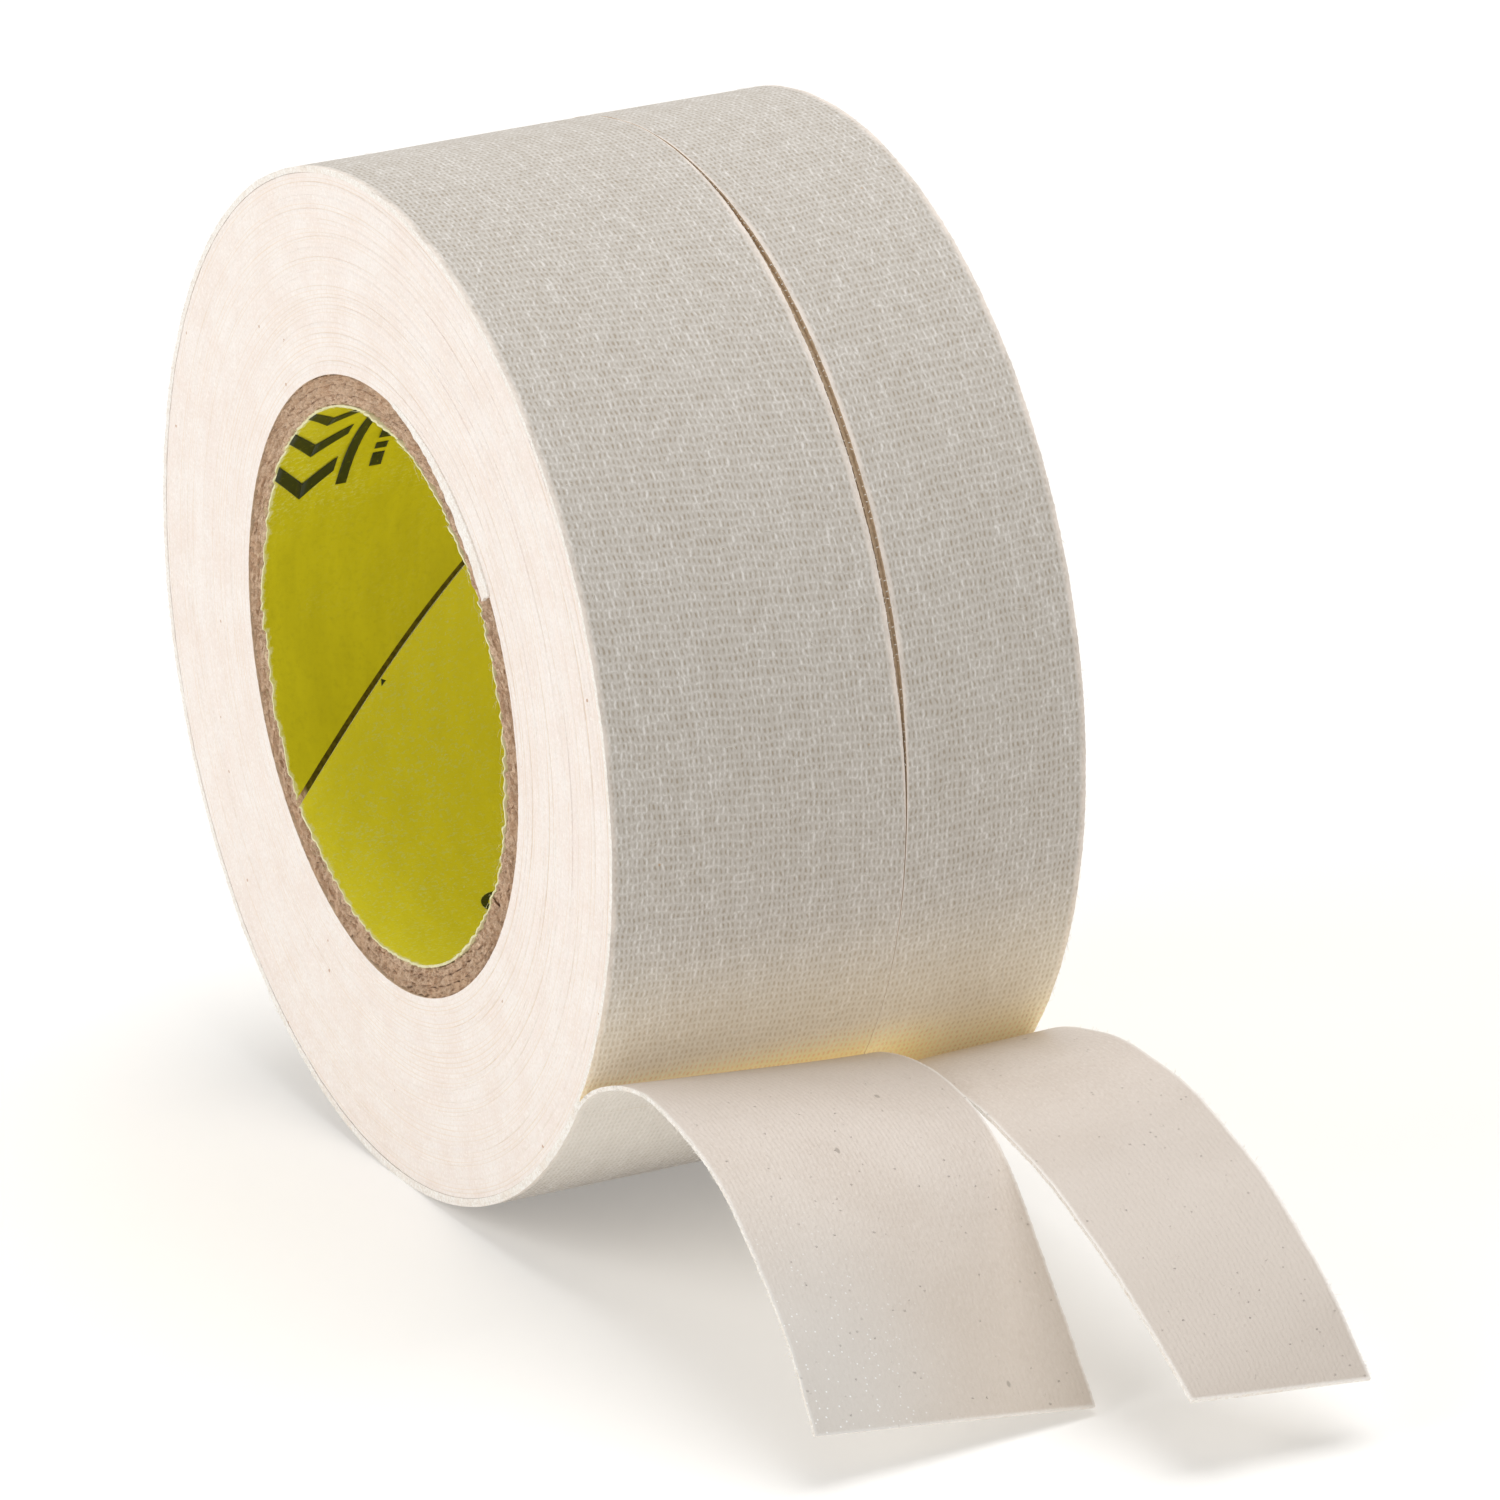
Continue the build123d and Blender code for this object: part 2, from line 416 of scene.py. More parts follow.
def cut_look(name):
    """A cut edge of the tape: bright white ends of cotton threads."""
    look = Look(name, roughness=0.9, specular=0.12, sheen=0.2)
    here = look.place()
    ends = look.noise(here, 0.20 * MM, detail=3.0, roughness=0.7)
    cloud = look.noise(here, 2.5 * MM)
    base = look.mix(look.ramp(ends, 0.3, 0.7), colour(236, 228, 218), colour(254, 252, 248))
    base = look.over(base, (238, 222, 206), look.ramp(cloud, 0.5, 0.75, 0.0, 0.4))
    return look.finish(base, look.bump(ends, 0.08 * MM))


def slit_look(name):
    """The cut edges inside the slit: painted shade, tan and darker than the cut edges at the open ends,
    for the warm shade in the narrow gap, where the adhesive also shows between the layers.
    """
    look = Look(name, roughness=0.8, specular=0.15)
    here = look.place()
    fibre = look.noise(here, 0.3 * MM, detail=3.0)
    base = look.mix(look.ramp(fibre, 0.35, 0.65), colour(204, 183, 156), colour(220, 200, 174))
    return look.finish(base, look.bump(fibre, 0.05 * MM))


def adhesive_look(name):
    """The adhesive side: the weave shows softly through a thin rubbery coat that glints."""
    look = Look(name, roughness=0.55, specular=0.35)
    along, across, edge = look.lay()
    here = look.vector(along, across, 0.0)
    floats, _, height = weave(look, along, across)
    slant = look.vector(look.plus(along, look.times(across, 0.8)),
                        look.times(look.plus(across, look.times(along, -0.8)), 0.22), 0.0)
    comb = look.noise(slant, 0.28 * MM)
    cloud = look.noise(here, 7.0 * MM, detail=3.0)
    fine = look.noise(here, 0.16 * MM)
    base = look.mix(look.ramp(cloud, 0.35, 0.68), colour(222, 210, 199), colour(228, 217, 207))
    base = look.over(base, (214, 201, 188), look.ramp(comb, 0.5, 0.75, 0.0, 0.4))
    # Painted glints: short pale dashes along the tape, with darker short dashes beside them.
    short = look.vector(look.times(along, 0.45), across, 0.9)
    short = look.noise(short, 0.20 * MM, detail=3.0, roughness=0.7)
    base = look.over(base, (240, 230, 222), look.ramp(short, 0.50, 0.72, 0.0, 0.55))
    base = look.over(base, (204, 188, 174), look.ramp(short, 0.30, 0.48, 0.35, 0.0))
    base = look.over(base, (238, 229, 220), floats, 0.2)
    # Painted shade: slow darkening along both tails, then more on the narrow one and near the wide one's
    # fold.
    base = look.over(base, (204, 193, 180), look.ramp(along, 14.0 * MM, 44.0 * MM, 0.0, 0.55))
    narrow = look.ramp(across, 3.5 * MM, 4.6 * MM)
    darker = look.times(narrow, look.ramp(along, 16.0 * MM, 32.0 * MM, 0.0, 0.45))
    base = look.over(base, (194, 184, 175), darker)
    wide = look.plus(1.0, look.times(narrow, -1.0))
    lower = look.times(wide, look.ramp(along, 12.0 * MM, 26.0 * MM, 0.38, 0.0))
    base = look.over(base, (204, 194, 186), lower)
    fleck = look.cells(look.vector(along, look.times(across, 1.7), 0.004), 7.0 * MM)
    fleck = look.ramp(fleck, 0.030, 0.05, 1.0, 0.0)
    base = look.over(base, (150, 140, 130), fleck, 0.6)
    rim = look.ramp(look.plus(edge, look.times(fine, 0.12 * MM)), 0.06 * MM, 0.34 * MM, 1.0, 0.0)
    base = look.over(base, (252, 249, 245), rim, 0.6)
    # Painted sheen and glints: a paler patch with white dots on the wide tail's near corner.
    painted_sheen = look.ramp(across, -15.0 * MM, -3.0 * MM, 1.0, 0.0)
    painted_sheen = look.times(look.ramp(along, 20.0 * MM, 38.0 * MM), painted_sheen)
    base = look.over(base, (226, 226, 224), painted_sheen, 0.45)
    painted_glints = look.ramp(look.cells(look.vector(along, across, 0.003), 0.45 * MM), 0.10, 0.17, 1.0, 0.0)
    base = look.over(base, (255, 255, 255), painted_glints, look.times(painted_sheen, 0.9))
    glint = look.ramp(look.cells(here, 0.55 * MM), 0.05, 0.16, 1.0, 0.0)
    glint = look.times(glint, look.ramp(look.noise(here, 1.1 * MM), 0.50, 0.62))
    relief = look.plus(look.times(height, 0.35), look.plus(look.times(comb, 0.6), look.times(fine, 0.35)))
    normal = look.bump(relief, 0.045 * MM)
    normal = look.bump(glint, 0.10 * MM, under=normal)
    look.set("Coat Weight", 0.25)
    look.set("Coat Roughness", 0.22)
    return look.finish(base, normal, look.ramp(glint, 0.1, 0.9, 0.55, 0.12))


def kraft_look(name, lighter):
    """Raw kraft board: short brown fibres, torn where the roll was cut."""
    look = Look(name, roughness=0.95, specular=0.1, sheen=0.1)
    here = look.place()
    fibre = look.noise(here, 0.35 * MM, detail=4.0, roughness=0.7, distortion=1.5)
    cloud = look.noise(here, 1.8 * MM)
    dark, pale = colour(176, 143, 115), colour(224 + lighter, 197 + lighter, 170 + lighter)
    base = look.mix(look.ramp(fibre, 0.30, 0.70), dark, pale)
    base = look.over(base, (208, 172, 140), look.ramp(cloud, 0.4, 0.7, 0.0, 0.4))
    return look.finish(base, look.bump(fibre, 0.12 * MM))


def liner_look(name):
    """Thin paper printed lime green, streaky, scuffed, and torn to white fibres at its edges."""
    look = Look(name, roughness=0.62, specular=0.3)
    around, along, edge = look.lay()
    here = look.place()
    streak = look.noise(look.vector(look.times(around, 0.25), along, 0.0), 1.6 * MM, detail=4.0)
    grain = look.noise(here, 0.5 * MM, detail=4.0, roughness=0.7)
    scuff = look.noise(here, 0.35 * MM, detail=3.0, roughness=0.8)
    region = look.noise(here, 11.0 * MM)
    base = look.mix(look.ramp(streak, 0.2, 0.8), colour(206, 196, 10), colour(218, 208, 18))
    base = look.over(base, (190, 180, 6), look.ramp(grain, 0.45, 0.75, 0.0, 0.4))
    # Painted light on the stretch that begins at the seam: it is brighter, and it is also more rubbed.
    low = look.ramp(around, 5.0 * MM, 45.0 * MM, 1.0, 0.0)
    base = look.over(base, (244, 234, 52), low, 0.55)
    slant = look.vector(look.times(look.plus(around, along), 0.35),
                        look.plus(along, look.times(around, -1.0)), 0.5)
    smear = look.noise(slant, 0.24 * MM, detail=3.0, roughness=0.7)
    rubbed = look.ramp(look.plus(region, look.times(low, 0.16)), 0.42, 0.72)
    base = look.over(base, (226, 226, 130), look.ramp(smear, 0.48, 0.74), look.times(rubbed, 0.8))
    worn = look.times(look.ramp(scuff, 0.60, 0.74), look.times(rubbed, 0.8))
    base = look.over(base, (232, 230, 160), worn)
    torn = look.plus(edge, look.times(look.plus(grain, -0.5), 0.9 * MM))
    torn = look.ramp(torn, 0.02 * MM, 0.30 * MM, 1.0, 0.0)
    base = look.over(base, (236, 232, 178), torn, 0.85)
    return look.finish(base, look.bump(look.plus(grain, look.times(streak, 0.5)), 0.06 * MM))


def ink_look(name):
    """Dark olive ink, mottled where the paper shows through."""
    look = Look(name, roughness=0.5, specular=0.35)
    here = look.place()
    spot = look.ramp(look.noise(here, 0.4 * MM, detail=3.0, roughness=0.7), 0.60, 0.74)
    return look.finish(look.mix(look.times(spot, 0.6), colour(46, 52, 10), colour(150, 148, 20)))


def seam_floor_look(name):
    """The inner ply's bore side: painted shade, a dark olive for the shade deep in the liner's seam; raw
    kraft at the rims.
    """
    look = Look(name, roughness=0.8, specular=0.15)
    here = look.place()
    height = look.math("ABSOLUTE", look.parts(here)[1])
    grain = look.noise(here, 0.4 * MM, detail=3.0)
    seam_shade = look.mix(look.ramp(grain, 0.35, 0.65), colour(84, 74, 16), colour(108, 96, 24))
    raw = look.mix(look.ramp(grain, 0.35, 0.65), colour(172, 136, 106), colour(222, 194, 166))
    return look.finish(look.mix(look.ramp(height, Y_FAR - 1.0 * MM, Y_FAR - 0.5 * MM), seam_shade, raw))


def fibre_look(name, base):
    """A loose fibre or thread end."""
    look = Look(name, roughness=0.8, specular=0.2)
    tone = look.noise(look.place(), 0.6 * MM)
    return look.finish(look.mix(tone, base, tuple(0.8 * c for c in base[:3]) + (1.0,)))


# ---- the tape off the roll

def bends(edge, along):
    """The curvature of a tail's edge at lengths from the peel line, eased where arcs meet."""
    ease = 1.2 * MM
    ends = np.cumsum([0.0] + [length * MM for length, _ in edge[1]])
    rates = [radians(turn) / (length * MM) for length, turn in edge[1]]
    total = np.full_like(along, rates[0])
    for join, before, after in zip(ends[1:-1], rates, rates[1:]):
        total += (after - before) * 0.5 * (1 + np.tanh((along - join) / ease))
    return total


def summed(rates, step):
    """The running sum, from 0, of rates held over equal steps."""
    return np.concatenate([[0], np.cumsum(rates * step)])


def edge_path(edge, shares):
    """Points, headings and the length of a tail's edge at shares of its length."""
    peel = radians(edge[0])
    length = sum(arc[0] for arc in edge[1]) * MM
    fine = np.linspace(0, length, 4001)
    step = fine[1]
    rate = bends(edge, fine)
    heading = radians(edge[0] + 90) + summed((rate[1:] + rate[:-1]) / 2, step)
    middle = (heading[1:] + heading[:-1]) / 2
    x = MID_PEEL_R * cos(peel) + summed(np.cos(middle), step)
    z = MID_PEEL_R * sin(peel) + summed(np.sin(middle), step)
    at = shares * length
    return np.interp(at, fine, x), np.interp(at, fine, z), np.interp(at, fine, heading), length


def across_shares(count, fine):
    """Shares of a tape's width from 0 to 1, closer together near its two edges."""
    t = np.linspace(-1, 1, count)
    return 0.5 + 0.5 * (t * (1 - fine) + fine * np.sign(t) * (1 - (1 - np.abs(t)) ** 2))


def two_sides(first, second):
    """A closed outline for each row: one side of the tape, then the other side back."""
    return np.concatenate([first, second[:, ::-1]], axis=1)


def frayed(seed, along):
    """How far the threads of a cut edge stand back, along the tape."""
    rng = np.random.default_rng(seed)
    ends = rng.random(int(np.ptp(along) / WEFT_PITCH) + 3) * 0.05 * MM
    thread = (along - along.min()) / WEFT_PITCH
    bite = 0.5 - 0.5 * np.cos(tau * thread)
    return np.interp(thread, np.arange(len(ends)), ends) + 0.03 * MM * bite


def slit_gap(angle):
    """The width of the slit round the roll: closed near the top, open in front, a line below."""
    deg = (np.degrees(angle) + 90) % 360 - 90
    places = [-90, -30, -20, -5, 4, 15, 30, 50, 63, 75, 88, 110, 270]
    opened = [0.01, 0.02, 0.03, 0.06, 0.15, 0.36, 0.47, 0.47, 0.33, 0.17, 0.07, 0.02, 0.01]
    return np.interp(deg, places, opened) * MM


def outer_turn(tape, low_edge, high_edge, y_low, y_high, slit_is_high, seed, materials):
    """The outermost turn, from the peel line clockwise down to one tape thickness lower."""
    rows, columns = 1150, 21
    swept = np.linspace(0, tau, rows)[:, None]
    along = -swept * PEEL_R
    share = across_shares(columns, 0.75)[None, :]
    peel = np.radians(low_edge[0] + (high_edge[0] - low_edge[0]) * share)
    angle = peel - swept
    low = y_low + frayed(seed, along[:, 0])[:, None]
    high = y_high - frayed(seed + 1, along[:, 0])[:, None]
    # Where the slit is open its two edges are parted, frayed, and lifted into a small lip.
    gap = slit_gap(angle[:, -1:] if slit_is_high else angle[:, :1])
    parted = np.minimum(1, gap / (0.3 * MM))
    if slit_is_high:
        high = Y_SLIT - gap / 2 - parted * frayed(seed + 1, along[:, 0])[:, None]
    else:
        low = Y_SLIT + gap / 2 + 0.6 * parted * frayed(seed, along[:, 0])[:, None]
    y = low + (high - low) * share
    from_slit, from_end = (high - y, y - low) if slit_is_high else (y - low, high - y)
    from_edge = np.minimum(from_end, from_slit / np.maximum(parted, 0.1))
    lip = 0.10 * MM * parted * np.exp(-(from_slit / (0.35 * MM)) ** 2)
    # Just above the peel line, adhesive fills the wedge between the roll and the tail's first arc.
    first_arc = [radians(e[1][0][1]) / (e[1][0][0] * MM) for e in (low_edge, high_edge)]
    rate = 1 / PEEL_R - (first_arc[0] + (first_arc[1] - first_arc[0]) * share)
    left = (tau - swept) * PEEL_R
    web = np.where(left < PEEL_WEB, 0.5 * rate * left ** 2, 0.0)
    settle = 0.012 * MM * drift(seed + 2, 8, 4 * MM, 40 * MM, along + 0.3 * y)
    outer = PEEL_R - TAPE_T * swept / tau + web + settle * np.sin(swept / 2) + lip
    inner = np.full_like(y, TURN_INNER_R)
    radius = two_sides(outer, inner)
    angle, y, from_edge = [two_sides(v, v) for v in (angle, y, from_edge)]
    grid = around_roll(angle, y, radius)
    facts = vectors(along, y, from_edge)
    ends = [3, 1] if slit_is_high else [1, 3]
    slots = [0] * (columns - 1) + [ends[0]] + [2] * (columns - 1) + [ends[1]]
    obj = loft(tape + "_tape_outermost_turn", grid, materials, slots, False, facts)
    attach(obj, tape + "_turn")
    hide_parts(tape + "_tape_outer_turn")


def tail(tape, low_edge, high_edge, y_low, y_high, seed, materials):
    """The free tail: it leaves the roll at the peel line, folds over and droops."""
    rows, columns = 220, 41
    share_along = np.linspace(0, 1, rows)
    share = across_shares(columns, 0.6)[None, :]
    x0, z0, h0, length0 = edge_path(low_edge, share_along)
    x1, z1, h1, length1 = edge_path(high_edge, share_along)

    def between(a, b):
        return a[:, None] * (1 - share) + b[:, None] * share

    x, z, heading = between(x0, x1), between(z0, z1), between(h0, h1)
    length = length0 + (length1 - length0) * share
    along = share_along[:, None] * length
    free = np.clip(along / (12 * MM), 0, 1) ** 2
    width = y_high - y_low
    swell = drift(seed, 7, 9 * MM, 30 * MM, along)
    swell = swell * drift(seed + 1, 5, 14 * MM, 40 * MM, share * width)
    to_slit = 1 - share if tape == "wide" else share
    curl = np.exp(-to_slit * width / (2.5 * MM)) * np.clip(along / (3 * MM), 0, 1) ** 2
    curl = curl * np.clip((20 * MM - along) / (8 * MM), 0, 1)
    lift = 0.10 * MM * swell * free + (0.10 if tape == "wide" else -0.10) * MM * curl
    low = y_low + frayed(seed + 3, share_along * length0)[:, None] * np.minimum(1, free * 4)
    high = y_high - frayed(seed + 4, share_along * length1)[:, None] * np.minimum(1, free * 4)
    y = low + (high - low) * share

    def side(offset):
        out = offset + lift
        return vectors(x - out * np.sin(heading), y, z + out * np.cos(heading))

    grid = two_sides(side(-TAPE_T / 2), side(TAPE_T / 2))
    from_edge = np.minimum(np.minimum(y - low, high - y), (1 - share_along[:, None]) * length)
    facts = two_sides(*[vectors(along, y, from_edge)] * 2)
    slots = [0] * (columns - 1) + [1] + [2] * (columns - 1) + [1]
    obj = loft(tape + "_tape_free_tail", grid, materials[:3], slots, False, facts)
    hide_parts(tape + "_tape_tail")
    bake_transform(obj)
    fuzz = tail_fuzz(tape + "_tail_fuzz", (x, y, z), heading, lift, seed + 5, materials[3])
    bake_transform(fuzz)


def tail_fuzz(name, surface, heading, lift, seed, material):
    """Cut ends of the cross threads, standing out of both long edges of a free tail. Beside the
    slit they are shorter and start further from the roll, where they are clear of the other
    tape's when one tail goes round alone."""
    rng = np.random.default_rng(seed)
    x, y, z = surface
    rows, count = len(x), 420
    paths = []
    for column, out in ((0, -1), (-1, 1)):
        by_slit = (out > 0) == name.startswith("wide")
        first_row = 30 if by_slit else 2
        row = rng.uniform(first_row, rows - 2, count)
        at = [np.interp(row, np.arange(rows), v[:, column])[:, None] for v in (x, y, z, heading, lift)]
        depth = rng.uniform(-0.45, 0.45, count)[:, None] * TAPE_T + at[4]
        steps = np.linspace(0, 1, 4)[None, :]
        longest = 0.12 * MM if by_slit else 0.30 * MM
        reach = longest * rng.uniform(0.25, 1.0, count)[:, None] ** 2
        lean, rise = rng.normal(0, 0.6, (2, count, 1)) * reach * steps ** 1.5
        px = at[0] - (depth + rise) * np.sin(at[3]) + lean * np.cos(at[3])
        pz = at[2] + (depth + rise) * np.cos(at[3]) + lean * np.sin(at[3])
        py = at[1] + out * (reach * steps - 0.04 * MM)
        paths.append(vectors(px, py, pz))
    return threads(name, np.concatenate(paths), 0.022 * MM, material)


# ---- the wound roll

def wound_turns(tape, y_open, seed, materials):
    """The wound turns: on the open end, each turn's cut edge stands at its own height. The end
    at the slit is plain."""
    y_slit = Y_SLIT + copysign(0.03 * MM, y_open)
    rows = 480
    angle = np.arange(rows)[:, None] * tau / rows
    out = copysign(1.0, y_open - y_slit)
    rng = np.random.default_rng(seed)
    turn = np.concatenate([[k, k + 0.2, k + 0.8] for k in range(TURNS)] + [[TURNS]])[None, :]
    middle = np.floor(turn)
    body = np.sin(pi * turn / TURNS)
    wander = body * (0.16 * MM * ripple(seed, 4, 1, 3, angle + 0.03 * turn)
                     + 0.07 * MM * ripple(seed + 1, 5, 2, 7, angle + 0.15 * turn))
    radius = CORE_R + (WINDING_R - CORE_R) * turn / TURNS + wander
    own = rng.normal(0, 0.006 * MM, TURNS + 1)
    slow = 0.025 * MM * np.sin(np.arange(TURNS + 1) / 3.1 + rng.uniform(0, 6))
    slow = slow * rng.uniform(0.3, 1.0, TURNS + 1)
    height = (own + slow)[middle.astype(int)]
    height = height + 0.014 * MM * ripple(seed + 2, 6, 1, 5, angle + 1.7 * middle)
    height = height + 0.008 * MM * rng.standard_normal((rows, turn.shape[1]))
    groove_depth, set_back = 0.015 * MM, 0.06 * MM
    groove = np.where(turn == middle, groove_depth, 0.0)
    open_y = y_open + out * (height - groove - set_back)
    back = 4
    hidden = np.linspace(1, 0, back)[None, :]
    shut_radius = np.broadcast_to(CORE_R + (WINDING_R - CORE_R) * hidden, (rows, back))
    radius = np.concatenate([np.broadcast_to(radius, open_y.shape), shut_radius], axis=1)
    y = np.concatenate([open_y, np.full((rows, back), y_slit)], axis=1)
    grid = around_roll(angle, y, radius)
    turns = np.concatenate([turn, hidden * TURNS], axis=1)
    facts = vectors(angle, turns, 0 * radius)
    count = turn.shape[1]
    slots = [0] * (count - 1) + [1] + [2] * (back - 1) + [1]
    obj = loft(tape + "_tape_winding", grid, materials, slots, True, facts)
    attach(obj, "roll")
    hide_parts(tape + "_tape_wound_turns")


def seam_at(angle, y):
    """The angle of a helical seam at y, from its angle in degrees at the near end."""
    return radians(angle) - tau * (y - Y_NEAR) / SEAM_LEAD


def rough(seed, rows, columns, smooth):
    """Random heights from 0 to 1 on a grid, smoothed from row to row."""
    rng = np.random.default_rng(seed)
    kernel = np.hanning(smooth + 2)[1:-1]
    field = rng.random((rows, columns))
    field = np.stack([np.convolve(column, kernel / kernel.sum(), "same") for column in field.T], axis=1)
    return np.clip(0.5 + (field - 0.5) * sqrt(smooth) * 0.9, 0, 1)


def kraft_ply(node, number, seam, seed, materials):
    """One kraft ply: a helical strip with a butt seam, torn rough where the roll was cut."""
    rows, across, lengthwise = 1000, 5, 18
    inner, outer = CORE_RADII[number], CORE_RADII[number + 1]
    half_gap = SEAM_W / 2 / inner
    turn = np.linspace(half_gap, tau - half_gap, rows)[:, None]
    notch, sweep = 0.34 * MM, 0.12 * MM
    near = Y_NEAR + notch * rough(seed, rows, across + 2, 5) + sweep * rough(seed + 1, rows, 1, 25)
    far = Y_FAR - notch * rough(seed + 2, rows, across + 2, 5) - sweep * rough(seed + 3, rows, 1, 25)
    long = np.linspace(0, 1, lengthwise)[None, :]
    chamfer = 0.08 * MM
    bore_y = near[:, :1] + chamfer + (far[:, :1] - near[:, :1] - 2 * chamfer) * long
    back_y = near[:, -1:] + chamfer + (far[:, -1:] - near[:, -1:] - 2 * chamfer) * long
    y = np.concatenate([bore_y, far[:, 1:-1], back_y[:, ::-1], near[:, -2:0:-1]], axis=1)
    climb = np.linspace(inner, outer, across + 2)[None, 1:-1]
    side = np.ones((1, lengthwise))
    radius = np.concatenate([inner * side, climb, outer * side, climb[:, ::-1]], axis=1)
    angle = seam_at(seam, y) + turn
    grid = around_roll(angle, y, radius)
    slots = [1] * (lengthwise - 1) + [0] * (lengthwise + 2 * across + 1)
    facts = vectors(turn * inner, y, 0)
    obj = loft(node + "_strip", grid, materials, slots, False, facts, rim=across)
    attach(obj, "roll")
    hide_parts(node)


def liner(materials):
    """The printed liner: a helical paper strip with a butt seam, torn at its two rims."""
    rows, columns = 900, 60
    share = across_shares(columns, 0.5)[None, :]
    half_gap = LINER_SEAM_W / 2 / BORE_R
    turn = np.linspace(half_gap, tau - half_gap, rows)[:, None]
    torn = [0.22 * MM * rough(seed, rows, 1, 5) + 0.24 * MM * rough(seed + 1, rows, 1, 60)
            for seed in (71, 73)]
    low, high = Y_NEAR - 0.12 * MM + torn[0], Y_FAR + 0.12 * MM - torn[1]
    y = low + (high - low) * share
    angle = seam_at(LINER_SEAM, y) + turn
    wave = 0.03 * MM * drift(75, 8, 6 * MM, 30 * MM, turn * BORE_R + 0.5 * y)
    peak = 0.05 * MM * np.exp(-((turn * BORE_R - 1.2 * MM) / (0.9 * MM)) ** 2)
    bore = BORE_R + np.maximum(wave, 0) - peak
    back = np.full_like(y, BORE_R + LINER_T)
    from_seam = turn * BORE_R
    edge = np.minimum(np.minimum(y - low, high - y), from_seam)
    facts = two_sides(*[vectors(from_seam, y, edge)] * 2)
    radius, angle, y = two_sides(bore, back), two_sides(angle, angle), two_sides(y, y)
    grid = around_roll(angle, y, radius)
    slots = [0] * (columns - 1) + [1] + [1] * (columns - 1) + [1]
    obj = loft("core_liner_strip", grid, materials, slots, False, facts)
    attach(obj, "roll")
    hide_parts("core_liner")


def bore_patch(corners, around, along):
    """Points and faces of a patch on the bore, from its four corners of (arc, height) in metres."""
    u, v = np.meshgrid(np.linspace(0, 1, around + 1), np.linspace(0, 1, along + 1), indexing="ij")
    a, b, c, d = [np.array(corner) for corner in corners]
    u, v = u[..., None], v[..., None]
    flat = (a * (1 - u) + b * u) * (1 - v) + (d * (1 - u) + c * u) * v
    n = along + 1
    faces = [[i * n + j, i * n + j + 1, (i + 1) * n + j + 1, (i + 1) * n + j]
             for i in range(around) for j in range(along)]
    return flat.reshape(-1, 2), faces


def liner_print(material):
    """Generic marks in place of lettering: chevrons, a rule, dashes, an open ring and a blot.
    Their places round the bore are given in degrees."""
    arc = radians(1) * BORE_R
    marks = []
    base, tall, thick = 0.1 * MM, 4.4 * MM, 1.5 * MM
    middle, top = base + tall / 2, base + tall
    for start in (118, 131, 144):
        a = start * arc
        tip = a + 2.3 * MM
        marks.append([(a, base), (a + thick, base), (tip + thick, middle), (tip, middle)])
        marks.append([(tip, middle), (tip + thick, middle), (a + thick, top), (a, top)])
    first, last = 122 * arc, 153 * arc
    marks.append([(first, 5.3 * MM), (last, 4.9 * MM), (last, 5.7 * MM), (first, 6.1 * MM)])
    base, top = 7.2 * MM, 8.1 * MM
    for start, long in ((124, 1.5), (130, 0.7), (134, 1.9), (141.5, 0.7), (145, 1.4)):
        a, b = start * arc, start * arc + long * MM
        marks.append([(a, base), (b, base), (b, top), (a, top)])
    ring_at, ring_y, inner = 258.5 * arc, 10.2 * MM, 0.95 * MM
    outer = inner + 0.5 * MM
    sectors, inked = 24, 20
    for k in range(inked):
        t0, t1 = (tau * (k + e) / sectors for e in (0, 1))
        corners = ((inner, t0), (outer, t0), (outer, t1), (inner, t1))
        marks.append([(ring_at + r * cos(t), ring_y + r * sin(t)) for r, t in corners])
    blot_at, blot_y = 199.5 * arc, 8.2 * MM
    corners = ((0.0, 0.0), (0.7, -0.1), (0.9, 0.3), (0.2, 0.4))
    marks.append([(blot_at + u * MM, blot_y + v * MM) for u, v in corners])
    points, faces = [], []
    for corners in marks:
        flat, quads = bore_patch(corners, 8, 4)
        faces += [[len(points) + i for i in quad] for quad in quads]
        points += flat.tolist()
    flat = np.array(points)
    angle, y = flat[:, 0] / BORE_R, Y_NEAR + flat[:, 1]
    radius = BORE_R - 0.030 * MM
    points = around_roll(angle, y, radius)
    obj = new_object("core_liner_print", points, faces, [material])
    plate = obj.modifiers.new("ink", "SOLIDIFY")
    plate.thickness = 0.012 * MM
    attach(obj, "roll")


def first_turn_flap(materials):
    """The inner end of the tape, pulled out over the rim of the kraft core."""
    rows, columns = 160, 5
    share = np.linspace(0, 1, rows)[:, None]
    first_deg, sweep_deg = 33.5, 48
    ragged = 0.012 * (rough(91, rows, columns, 3) - 0.5) * (share < 0.02)
    angle = np.radians(first_deg + sweep_deg * share) + ragged
    taper = np.clip((1 - share) / 0.75, 0, 1) ** 0.7
    low = CORE_R - 1.05 * MM * taper + 0.10 * MM * rough(92, rows, 1, 9)
    high = np.full_like(low, CORE_R + 0.25 * MM)
    across = np.linspace(0, 1, columns)[None, :]
    radius = low + (high - low) * across
    top = Y_NEAR - 0.10 * MM + 0.10 * MM * (1 - taper) + 0.05 * MM * rough(93, rows, columns, 7)
    y = two_sides(top, top + 0.35 * MM)
    radius = two_sides(radius, radius)
    angle = two_sides(angle, angle)
    grid = around_roll(angle, y, radius)
    facts = vectors(angle * radius, radius, 0 * y)
    slots = [0] * (2 * columns)
    obj = loft("first_turn_flap", grid, materials, slots, False, facts)
    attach(obj, "roll")


# ---- loose threads and hairs

